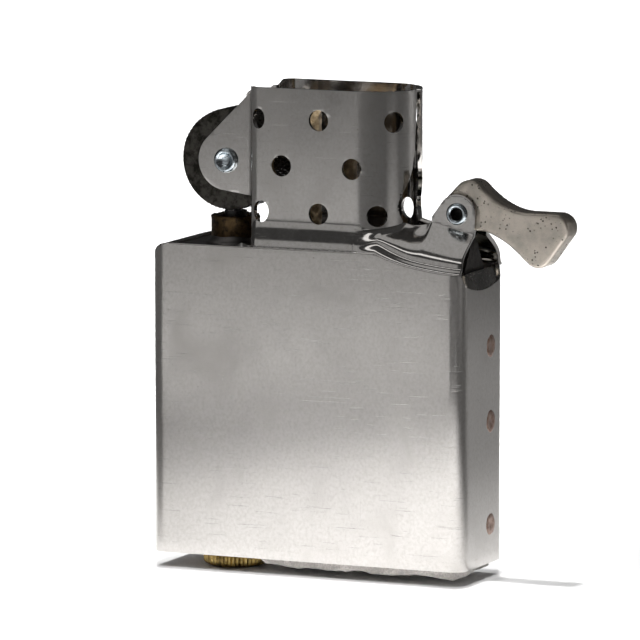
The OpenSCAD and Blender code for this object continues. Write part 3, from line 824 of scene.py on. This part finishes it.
def build_wheel():
    """Striking wheel with a cross-cut rim, recessed sides and a hub."""
    teeth, around = 68, 476
    rim_rows = 44
    edge = 0.1
    w = WHEEL_HALF_W
    side = [(1.06, w - 0.15), (1.2, w), (1.8, w), (1.9, w - 0.25), (2.0, w - 0.4), (2.7, w - 0.4),
            (2.8, w - 0.1), (2.9, w), (3.6, w), (4.3, w), (WHEEL_R - 0.45, w), (WHEEL_R - 0.14, w - 0.01)]
    rim = [(WHEEL_R, mix(w - edge, edge - w, i / rim_rows)) for i in range(rim_rows + 1)]
    profile = side + rim + [(r, -h) for r, h in reversed(side)] + [(1.06, 0)] + [side[0]]
    first, last = len(side), len(side) + rim_rows

    def cut(a, r, h, k):
        if not first <= k <= last:
            return r, h
        lean = 0.62
        t = teeth * a / (2 * math.pi)
        one = abs((t + lean * h) % 1.0 - 0.5) * 2
        two = abs((t - 0.45 * lean * h + 0.3) % 1.0 - 0.5) * 2
        wear = 0.75 + 0.5 * noise_round(a, 3, h)
        crown = 0.05 * (abs(h) / w) ** 8
        return r - crown - wear * (0.17 * (1 - one) ** 1.5 + 0.12 * (1 - two) ** 3), h

    turn = crosswise(WHEEL_AT.x, WHEEL_AT.z)
    obj = tidy(new_object("striking_wheel", *lathe(profile, around, turn, cut)))
    place(obj, "wheel", "wheel_steel", WHEEL_STEEL, ["flint_wheel"])
    return sharp_by_angle(obj, 28)


def build_rivet(name, half, centre, sides, slots, node):
    """Rivet across the screen's sheet, the same at both ends."""
    profile = half + [(r, -h) for r, h in reversed(half)]
    obj = tidy(new_object(name, *lathe(profile, sides, crosswise(centre.x, centre.z))))
    place(obj, "casing", "zinc", slots, [node])
    return sharp_by_angle(obj, 60)


def build_wheel_rivet():
    """Rivet with a rolled, dimpled head on each ear."""
    y = EAR_Y
    head = [(0.0, y + 0.14), (0.35, y + 0.13), (0.62, y + 0.2), (0.78, y + 0.38), (0.86, y + 0.49),
            (0.97, y + 0.54), (1.1, y + 0.52), (1.22, y + 0.42), (1.31, y + 0.26), (1.34, y + 0.1),
            (1.33, y + 0.01), (0.99, y + 0.0)]
    return build_rivet("axle_rivet", head, WHEEL_AT, 64, ZINC, "wheel_rivet")


def build_cam_rivet():
    """Hollow rivet rolled over at both ends, its bore in near-black steel as painted shade."""
    y = CAM_EAR_Y
    bore_r = 0.62
    half = [(bore_r, 0), (bore_r, y + 0.05), (0.66, y + 0.2), (0.76, y + 0.3), (0.9, y + 0.34),
            (1.05, y + 0.29), (1.15, y + 0.18), (1.17, y + 0.04), (1.14, y + 0.01), (0.89, y)]
    obj = build_rivet("cam_eyelet", half, CAM_AT, 56, (ZINC, LEAF_STEEL), "cam_rivet")
    # Faces inside the bore take the near-black leaf steel: painted shade in the hollow of the rivet.
    for polygon in obj.data.polygons:
        at = polygon.center / MM
        in_bore = math.hypot(at.x - CAM_AT.x, at.z - CAM_AT.z) < bore_r + 0.06
        polygon.material_index = 1 if in_bore else 0
    return obj


def curve_points(a, b, c, n):
    """Inner points of a quadratic curve."""
    a, b, c = Vector(a), Vector(b), Vector(c)
    return [tuple(a.lerp(b, i / n).lerp(b.lerp(c, i / n), i / n)) for i in range(1, n)]


def cam_side():
    """Side outline of the cam about its pivot, tail towards +X."""
    return (arc(0, 0, 2.25, 230, 150, 14)
            + arc(1.15, 1.7, 1.85, 130, 55, 14)
            + curve_points((2.3, 3.15), (5.2, 0.15), (8.4, 0.42), 22)
            + arc(10.75, -1.2, 1.6, 90, -25, 18)
            + arc(8.85, -3.75, 1.6, -35, -125, 16)
            + curve_points((7.5, -4.75), (5.5, -2.55), (2.6, -1.65), 14))


def inward_ways(loop):
    """For each point of a loop, the direction that leads into it."""
    ways = []
    for i, point in enumerate(loop):
        ahead = Vector(loop[(i + 1) % len(loop)]) - Vector(loop[i - 1])
        way = Vector((-ahead.y, ahead.x)).normalized()
        probe = Vector(point) + way * 0.1
        ways.append(way if inside(loop, np.array([probe]))[0] else -way)
    return ways


def build_cam():
    """Lever that snaps the lid, with rounded edges."""
    outline = denser(cam_side(), 0.3)
    count = len(outline)
    inward = inward_ways(outline)
    rounding, turns = 0.28, 5
    levels = []
    for i in range(turns + 1):
        a = math.pi / 2 * i / turns
        levels.append((rounding * (1 - math.sin(a)), CAM_HALF_T - rounding * (1 - math.cos(a))))
    levels += [(inset, -y) for inset, y in reversed(levels)]
    points = [Vector((x + w.x * inset, -y, z + w.y * inset)) for inset, y in levels
              for (x, z), w in zip(outline, inward)]
    faces = grid_faces(len(levels), count, closed=True)
    hole = ring(0, 0, CAM_BORE_R, 40)
    cap_loop = [(p.x, p.z) for p in points[:count]]
    flat, cap = flat_sheet(cap_loop, [hole], steps(-3, 13, 0.4), steps(-6, 4, 0.4), 0.15)
    sides = (-CAM_HALF_T, CAM_HALF_T)
    for y in sides:
        add_part(points, faces, [Vector((x, y, z)) for x, z in flat], cap)
    add_part(points, faces, [Vector((x, y, z)) for y in sides for x, z in hole],
             grid_faces(2, len(hole), closed=True))
    for point in points:
        lump = 0.02 + 0.02 * noise.noise(Vector((point.x * 0.9, point.z * 0.9, point.y * 0.4)))
        point += Vector((CAM_AT.x, -math.copysign(lump, point.y), CAM_AT.z))
    obj = new_object("lid_cam_lever", points, faces)
    tidy(obj, merge=0.005)
    place(obj, "lid_cam", "cam_steel", CAM_STEEL, ["cam"])
    return sharp_by_angle(obj, 45)


# ---------------------------------------------------------------- flint tube, screw and inner parts

def build_flint_tube():
    """Brass tube: plain below the plate, a sooty collar with a ragged mouth above it."""
    bore, thread, outer = 1.45, 2.0, 2.3
    bottom, step_z = TUBE_LOW.z, 7.0
    profile = [(thread, bottom), (outer, bottom), (outer, PLATE_TOP), (COLLAR_R, PLATE_TOP + 0.01),
               (COLLAR_R, PLATE_TOP + 1.2), (COLLAR_R, TUBE_TOP - 0.35), (COLLAR_R + 0.03, TUBE_TOP - 0.15),
               (COLLAR_R - 0.04, TUBE_TOP), (COLLAR_R - 0.35, TUBE_TOP + 0.02), (COLLAR_R - 0.75, TUBE_TOP),
               (bore, TUBE_TOP - 0.05), (bore, step_z), (thread, step_z), (thread, bottom)]

    def ragged(a, r, h, k):
        if 5 < k < 10:
            grit = noise_round(a, 4, k)
            rough = noise_round(a, 9, k * 2)
            return r + 0.07 * grit, h + 0.16 * grit + 0.12 * rough
        return r, h

    obj = tidy(new_object("flint_tube_body", *lathe(profile, 96, upright(SCREW_AT.x, 0), ragged)))
    place(obj, "casing", "brass", (BRASS, BURNT_BRASS), ["flint_tube"])
    for polygon in obj.data.polygons:
        polygon.material_index = 1 if polygon.center.z / MM > PLATE_TOP else 0
    return sharp_by_angle(obj, 40)


def build_tube_solder():
    """Uneven ring of solder at the collar's foot."""
    section = [(0, 0.8), (0.1, 0.72), (0.25, 0.45), (0.5, 0.3), (0.68, 0.14), (0.72, 0.02),
               (0, 0.02), (0, 0.8)]
    profile = [(COLLAR_R + out, PLATE_TOP + up) for out, up in section]

    def uneven(a, r, h, _):
        wave = noise_round(a, 1.7, 3)
        return r + 0.16 * wave * (r - COLLAR_R), h + 0.22 * wave * (h - PLATE_TOP)

    obj = tidy(new_object("tube_solder_ring", *lathe(profile, 96, upright(SCREW_AT.x, 0), uneven)))
    place(obj, "casing", "dark_steel", DARK_STEEL, ["tube_solder"])
    return sharp_by_angle(obj, 50)


def build_shoulder_solder():
    """Lumps of solder along the shoulder's front edge, each given by its place, radius and height."""
    points, faces = [], []
    low = box_mm("shoulder_solder")[0]
    drops = [(-7.6, 0.42, 0.45), (-6.9, 0.3, 0.3), (-8.3, 0.24, 0.22), (-6.3, 0.2, 0.2), (-8.9, 0.15, 0.14)]
    rings, around = 8, 20
    for x, r, rise in drops:

        def drop(t, a):
            tilt = math.pi / 2 * t
            lump = 1 + 0.25 * noise.noise(Vector((x + math.cos(a), math.sin(a), tilt * 2)))
            return Vector((x + 1.5 * r * lump * math.cos(tilt) * math.cos(a),
                           low.y + 0.35 + r * lump * math.cos(tilt) * math.sin(a),
                           low.z + rise * 1.5 * math.sin(tilt)))

        add_part(points, faces, ringed(rings, around, drop),
                 grid_faces(rings + 1, around, closed=True) + [tuple(range(around))])
    obj = tidy(new_object("shoulder_solder_drops", points, faces))
    return place(obj, "casing", "solder", SOLDER, ["shoulder_solder"])


def build_screw():
    """Knurled screw head with a slot, and its shank."""
    ribs = 46
    top, bottom = HEAD_BOTTOM + 1.6, HEAD_BOTTOM
    shank = 1.95
    profile = [(0.0, bottom + 0.02), (HEAD_R * 0.5, bottom), (HEAD_R - 0.6, bottom + 0.1),
               (HEAD_R - 0.25, bottom + 0.26), (HEAD_R - 0.04, bottom + 0.42), (HEAD_R, bottom + 0.55),
               (HEAD_R, mix(bottom, top, 0.55)), (HEAD_R, top - 0.25), (HEAD_R - 0.12, top - 0.06),
               (HEAD_R - 0.3, top), (shank, top), (shank, HEAD_HIGH.z - 0.3), (shank - 0.3, HEAD_HIGH.z),
               (0.0, HEAD_HIGH.z)]

    def knurl(a, r, h, k):
        if 3 <= k <= 8:
            groove = abs((ribs * a / (2 * math.pi)) % 1.0 - 0.5) * 2
            return r - 0.16 * (1 - groove) ** 1.4, h
        return r, h

    obj = tidy(new_object("screw_body", *lathe(profile, 460, upright(SCREW_AT.x, 0), knurl)))
    slot_points = [Vector((SCREW_AT.x + x, y, z)) for x in (-5, 5) for y in (-0.45, 0.45)
                   for z in (bottom - 1, bottom + 0.6)]
    slot_faces = [(0, 1, 3, 2), (4, 6, 7, 5), (0, 4, 5, 1), (2, 3, 7, 6), (0, 2, 6, 4), (1, 5, 7, 3)]
    cutter = tidy(new_object("slot_cutter", slot_points, slot_faces, smooth=False))
    finish_mesh(obj, ("BOOLEAN", {"operation": "DIFFERENCE", "object": cutter, "solver": "EXACT"}))
    bpy.data.objects.remove(cutter)
    place(obj, "screw", "brass", BRASS, ["spring_screw"])
    return sharp_by_angle(obj, 35)


def build_spring():
    """Flint spring as a smooth coil."""
    low, high = box_mm("flint_spring")
    wire = 0.2
    coil = (high.x - low.x) / 2 - wire
    per_turn = 28
    count = 15 * per_turn
    path = []
    for i in range(count + 1):
        a = 2 * math.pi * i / per_turn
        path.append(Vector((SCREW_AT.x + coil * math.cos(a), coil * math.sin(a),
                            mix(low.z + wire, high.z - wire, i / count))))
    obj = new_object("flint_spring_coil", *tube_along(path, wire, 10))
    tidy(obj, merge=0.0001)
    place(obj, "spring_carriage", "spring_steel", SPRING_STEEL, ["flint_spring"])
    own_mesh(obj)
    return obj


def wick_way(s):
    """Point of the wick s below its top: straight, then one loop through the packing."""
    z = WICK_HIGH.z - s
    loop = 0.0 if s < 18 else (WICK_HIGH.x - WICK_LOW.x - 3.0) * ease(1 - abs(z - 16.5) / 13.5)
    return Vector((WIRE_LEFT - 0.36 + loop, 0, z))


def build_wick():
    """Braided wick with a frayed, singed top."""
    length = WICK_HIGH.z - WICK_LOW.z
    path = [wick_way(length * i / 260) for i in range(261)]

    def braid(t, a, r):
        run = t * length
        left = abs(math.sin(3 * a + run * 2.1))
        right = abs(math.sin(3 * a - run * 2.1))
        fray = max(0.0, 1 - run / 1.2)
        loose = noise_round(a, 2.5, run * 3)
        return r * (0.9 + 0.1 * max(left, right)) + 0.2 * loose * fray - 0.35 * fray * fray

    obj = tidy(new_object("wick_braid", *tube_along(path, 1.48, 60, braid)))
    return place(obj, "casing", "wick_cotton", COTTON, ["wick"])


def build_packing():
    """Squeezed wads of fibre."""
    rings, around = 26, 44
    for number in range(1, 6):
        node = f"packing_{number}"
        low, high = box_mm(node)
        centre, half = (low + high) / 2, (high - low) / 2

        def wad(t, a):
            tilt = math.pi * t
            way = Vector((math.sin(tilt) * math.cos(a), math.cos(tilt), math.sin(tilt) * math.sin(a)))
            lump = 0.94 + 0.06 * noise.noise(way * 3 + Vector((number * 7, 0, 0)))
            square = math.copysign(abs(way.y) ** 0.6, way.y)
            return centre + Vector((way.x * half.x, square * half.y, way.z * half.z)) * lump

        obj = tidy(new_object(f"packing_wad_{number}", ringed(rings, around, wad),
                              grid_faces(rings + 1, around, closed=True)))
        place(obj, "casing", "packing_fibre", RAYON, [node])


def build_felt():
    """One piece of felt: a pad round the screw and a thicker flap, which lifts for filling on the lighter
    but is built here fixed, in one mesh with the pad.
    """
    hole_r = 3.75
    left, right = PAD_LOW.x, FLAP_HIGH.x
    wide = FLAP_HIGH.y
    corner = 1.2
    rounded = []
    for cx, cy, a in ((right, wide, 0), (left, wide, 90), (left, -wide, 180), (right, -wide, 270)):
        rounded += arc(cx - math.copysign(corner, cx), cy - math.copysign(corner, cy), corner, a, a + 90, 6)
    outline = denser(rounded, 0.4)
    hole = ring(SCREW_AT.x, 0, hole_r, 60)
    flat, faces = flat_sheet(outline, [hole], steps(left, right, 0.4), steps(-wide, wide, 0.4), 0.12)
    top = FLAP_HIGH.z
    lower, upper = [], []
    for x, y in flat:
        into = ease((x - HINGE_AT.x - 0.2) / 1.2)
        broad = noise.noise(Vector((x * 0.4, y * 0.3, 5)))
        close = noise.noise(Vector((x * 1.3, y * 1.3, 9)))
        wave = broad * 0.35 + close * 0.2
        edge = min(1.0, (wide - abs(y)) / 0.9, (right - x) / 0.9)
        tuck = 0.2 * (1 - math.sqrt(max(0.0, 1 - (1 - max(0.0, edge)) ** 2)))
        bottom = mix(PAD_LOW.z, FLAP_LOW.z - 0.1 + wave + tuck, into)
        lower.append(Vector((x, y, bottom)))
        upper.append(Vector((x, y, top - 0.05 + 0.1 * noise.noise(Vector((x, y, 2))))))
    faces = facing(lower, faces, Vector((0, 0, -1)))
    count = len(lower)
    skin = faces + [tuple(count + i for i in reversed(f)) for f in faces]
    used = dict.fromkeys((a, b) for f in faces for a, b in zip(f, f[1:] + f[:1]))
    skin += [(b, a, count + a, count + b) for a, b in used if (b, a) not in used]
    obj = new_object("felt_piece", lower + upper, skin)
    tidy(obj)
    obj.data.materials.append(FELT)
    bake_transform(obj)
    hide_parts("felt_pad", "felt_flap")
    return sharp_by_angle(obj, 60)


def build_weld_spots():
    """Shallow stained spot welds on the end wall."""
    low, high = box_mm("spring_welds")
    across = (low.y + high.y) / 2
    r = (high.y - low.y) / 2
    middle_z = 15.1
    rings, around = 10, 40
    points, faces = [], []
    for z in (low.z + r, middle_z, high.z - r):

        def spot(t, a):
            uneven = 1 + 0.08 * noise_round(a, 1.5, z)
            height = 0.055 * math.sin(math.pi * min(1.0, 1.25 * (1 - t))) + 0.004
            return Vector((HALF_L + height, across + r * t * uneven * math.cos(a),
                           z + r * t * uneven * math.sin(a)))

        add_part(points, faces, ringed(rings, around, spot), grid_faces(rings + 1, around, closed=True))
    obj = tidy(new_object("weld_spots", points, facing(points, faces, Vector((1, 0, 0)))))
    finish_mesh(obj, thick(0.06))
    return place(obj, "casing", "weld_steel", WELD_STEEL, ["spring_welds"])


def paint(nodes, material):
    """Gives CAD nodes that stay their finished material."""
    for name in nodes:
        obj = frame["nodes"][name]
        obj.data.materials.clear()
        obj.data.materials.append(material)


for build in (build_tank, build_screen, build_wings, build_end_lip, build_wheel, build_wheel_rivet,
              build_cam_rivet, build_cam, build_flint_tube, build_tube_solder, build_shoulder_solder,
              build_screw, build_spring, build_wick, build_packing, build_felt, build_weld_spots):
    build()
# The shoulder plate's near-black steel is its tarnish and also painted shade of its recess below the wall
# tops.
paint(["shoulder_plate"], DARK_STEEL)
paint(["cam_spring_base", "cam_spring_tongue"], LEAF_STEEL)
paint(["flint"], FLINT_METAL)
paint(["spring_tip", "spring_seat"], BRASS)
paint(["wick_wire"], COPPER)


# ---------------------------------------------------------------- studio

def aimed_light(name, kind, at, look_at, power):
    """Light aimed at a point; places in metres."""
    data = bpy.data.lights.new(name, kind)
    data.energy = power
    obj = bpy.data.objects.new(name, data)
    bpy.context.scene.collection.objects.link(obj)
    obj.location = at
    obj.rotation_euler = (Vector(look_at) - Vector(at)).to_track_quat("-Z", "Y").to_euler()
    return obj


def area_light(name, at, look_at, width, height, power):
    """Soft rectangular light."""
    data = aimed_light(name, "AREA", at, look_at, power).data
    data.shape = "RECTANGLE"
    data.size, data.size_y = width, height


def pool_light(name, at, look_at, cone, power, softness=0.02):
    """Soft-edged pool of light on the floor, unseen in the steel itself; cone in degrees."""
    obj = aimed_light(name, "SPOT", at, look_at, power)
    obj.data.spot_size = math.radians(cone)
    obj.data.spot_blend = 1.0
    obj.data.shadow_soft_size = softness
    obj.visible_glossy = False


def studio_floor():
    """Plain pale floor under the lighter."""
    half = 4000
    z = cad_bounds[0][2] / MM
    points = [Vector((x, y, z)) for x, y in ((-half, -half), (half, -half), (half, half), (-half, half))]
    floor = new_object("studio_floor", points, [(0, 1, 2, 3)], smooth=False)
    n = Nodes("studio_white")
    n.set(Metallic=0.0, Specular_IOR_Level=0.2)
    grain = n.noise((0.02, 0.02, 0.02), 2, 0.5)
    floor.data.materials.append(n.finish(n.blend_colours(grain, (0.93, 0.93, 0.93), (0.95, 0.95, 0.95)),
                                         n.ramp(grain, 0.3, 0.7, 0.6, 0.7)))


def studio_world():
    """Dim surroundings near the horizon, bright overhead."""
    world = bpy.data.worlds.new("studio")
    bpy.context.scene.world = world
    world.use_nodes = True
    tree = world.node_tree
    sky = tree.nodes["Background"]
    sky.inputs["Color"].default_value = (1, 1, 1, 1)
    place = tree.nodes.new("ShaderNodeTexCoord")
    split = tree.nodes.new("ShaderNodeSeparateXYZ")
    rise = tree.nodes.new("ShaderNodeMapRange")
    rise.interpolation_type = "SMOOTHSTEP"
    for key, value in (("From Min", 0.1), ("From Max", 0.75), ("To Min", 0.04), ("To Max", 0.06)):
        rise.inputs[key].default_value = value
    tree.links.new(place.outputs["Generated"], split.inputs["Vector"])
    tree.links.new(split.outputs["Z"], rise.inputs["Value"])
    tree.links.new(rise.outputs["Result"], sky.inputs["Strength"])


def studio_camera():
    """Camera at the reference viewing angle."""
    turn, tilt = math.radians(23.94), math.radians(7.65)
    away = 0.785
    centre = Vector((-0.00081, 0, 0.02505))
    data = bpy.data.cameras.new("camera")
    data.lens = 416.8
    data.sensor_width = 36
    data.clip_start, data.clip_end = 0.01, 20
    obj = bpy.data.objects.new("camera", data)
    bpy.context.scene.collection.objects.link(obj)
    back = Vector((math.sin(turn) * math.cos(tilt), -math.cos(turn) * math.cos(tilt), math.sin(tilt)))
    obj.location = centre + back * away
    obj.rotation_euler = (-back).to_track_quat("-Z", "Y").to_euler()
    bpy.context.scene.camera = obj


def studio_lights():
    """Steel shows what it mirrors, so most lights are pools on the floor that the faces mirror."""
    overhead = 1.0
    pool_light("pool_front", (0.36, -0.80, 0.95), (-0.01, 0.0, 0), 7.4, 62, 0.06)
    for name, x, y, cone, power in (
            ("pool_near", 0.025, -0.062, 10.4, 70),     # lower right of the front face
            ("pool_left", -0.08, -0.165, 9.2, 34),      # upper left of the front face
            ("pool_screen", -0.14, -0.305, 11.5, 18),   # flat front of the wind screen
            ("pool_round", 0.31, -0.12, 13, 12),        # round end of the wind screen
            ("pool_end", 0.075, 0.13, 11, 9)):          # end wall of the tank
        pool_light(name, (x, y, overhead), (x, y, 0), cone, power)
    # White floor behind the lighter, along the line of sight
    for along, cone, power in ((0.06, 9.5, 60), (0.15, 10.5, 70), (0.28, 13, 70), (0.45, 17, 70),
                               (0.68, 22, 75)):
        x, y = -0.402 * along - 0.008, 0.906 * along
        pool_light(f"pool_back_{round(along * 100)}", (x, y, overhead), (x, y, 0), cone, power)
    wing = (0.015, 0, 0.035)
    area_light("slope_box", (-0.28, 0.0, 0.9), wing, 0.9, 0.7, 0.8)
    area_light("roll_box", (-0.26, -0.95, 0.85), wing, 0.9, 0.2, 0.75)
    area_light("low_box", (-0.42, -0.95, 0.22), wing, 0.8, 0.36, 0.32)
    area_light("edge_box", (0.45, 0.3, 0.16), (0, 0, 0.04), 0.1, 0.25, 0.2)


studio_floor()
studio_world()
studio_camera()
studio_lights()
bpy.context.scene.view_settings.view_transform = "Standard"
